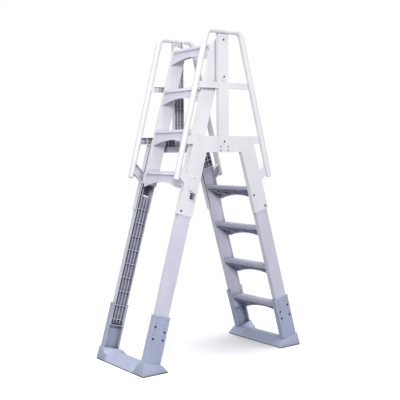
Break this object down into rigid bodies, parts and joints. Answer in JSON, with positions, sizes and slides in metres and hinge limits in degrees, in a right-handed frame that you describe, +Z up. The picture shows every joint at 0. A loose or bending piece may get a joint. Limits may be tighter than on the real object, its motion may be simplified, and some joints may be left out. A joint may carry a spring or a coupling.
{
  "type": "pool ladder",
  "caption": "A-frame pool ladder with a sliding entry flight that lifts as a barrier, fixed pool-side steps, handrails, a bridging deck and adjustable feet.",
  "frame": {"origin": "on the ground at the middle of the ladder, midway between the two bases", "axes": "+X from the entry side to the pool side, +Y across the ladder's width to the far side, +Z up"},
  "size_m": [1.324, 0.576, 2.171],
  "materials": {
    "resin_light": "satin moulded resin",
    "resin_dark": "dark satin moulded resin",
    "resin_step": "satin moulded resin with a fine grain",
    "resin_foot": "satin moulded resin",
    "rubber": "matt",
    "dark_steel": "black coated",
    "steel": "zinc plated"
  },
  "bodies": {
    "frame": {"near_side_panel": "resin_light", "far_side_panel": "resin_light", "near_post": "resin_light", "far_post": "resin_light", "near_handrail_entry": "resin_light", "near_handrail_pool": "resin_light", "far_handrail_entry": "resin_light", "far_handrail_pool": "resin_light", "handrail_joiners": "resin_light", "handrail_end_plugs": "resin_light", "near_mid_rail": "resin_light", "far_mid_rail": "resin_light", "top_deck": "resin_step", "near_entry_leg": "resin_step", "far_entry_leg": "resin_step", "near_pool_leg": "resin_step", "far_pool_leg": "resin_step", "pool_step_1": "resin_step", "pool_step_2": "resin_step", "pool_step_3": "resin_step", "pool_step_4": "resin_step", "near_latch_cover": "resin_light", "far_latch_cover": "resin_light", "slide_bumpers": "rubber", "leg_bolts": "dark_steel", "post_bolts": "dark_steel", "frame_nuts": "steel", "deck_screws": "dark_steel", "pool_step_screws": "steel", "latch_screws": "dark_steel"},
    "entry_flight": {"near_stringer": "resin_light", "far_stringer": "resin_light", "near_runners": "resin_step", "far_runners": "resin_step", "entry_step_1": "resin_step", "entry_step_2": "resin_step", "entry_step_3": "resin_step", "entry_step_4": "resin_step", "entry_step_screws": "steel", "runner_screws": "steel"},
    "near_latch": {"near_latch_bolt": "steel", "near_latch_tab": "resin_dark", "near_latch_spring": "steel"},
    "far_latch": {"far_latch_bolt": "steel", "far_latch_tab": "resin_dark", "far_latch_spring": "steel"},
    "front_foot": {"front_base": "resin_foot", "front_sole": "rubber", "near_front_sleeve": "resin_foot", "far_front_sleeve": "resin_foot", "front_adjust_bolts": "dark_steel"},
    "rear_foot": {"rear_base": "resin_foot", "rear_sole": "rubber", "near_rear_sleeve": "resin_foot", "far_rear_sleeve": "resin_foot", "rear_adjust_bolts": "dark_steel"}
  },
  "joints": [
    {"name": "entry_flight_slide", "type": "slide", "parent": "frame", "child": "entry_flight", "axis": [-0.2756, 0, -0.9613], "range_m": [0, 0.977]},
    {"name": "near_latch_pull", "type": "slide", "parent": "frame", "child": "near_latch", "axis": [0, -1, 0], "range_m": [-0.008, 0.004], "stiffness_N_per_m": 300},
    {"name": "far_latch_pull", "type": "slide", "parent": "frame", "child": "far_latch", "axis": [0, 1, 0], "range_m": [-0.008, 0.004], "stiffness_N_per_m": 300},
    {"name": "front_foot_adjust", "type": "slide", "parent": "frame", "child": "front_foot", "axis": [0.2756, 0, 0.9613], "range_m": [-0.075, 0.075]},
    {"name": "rear_foot_adjust", "type": "slide", "parent": "frame", "child": "rear_foot", "axis": [-0.2756, 0, 0.9613], "range_m": [-0.075, 0.075]}
  ]
}
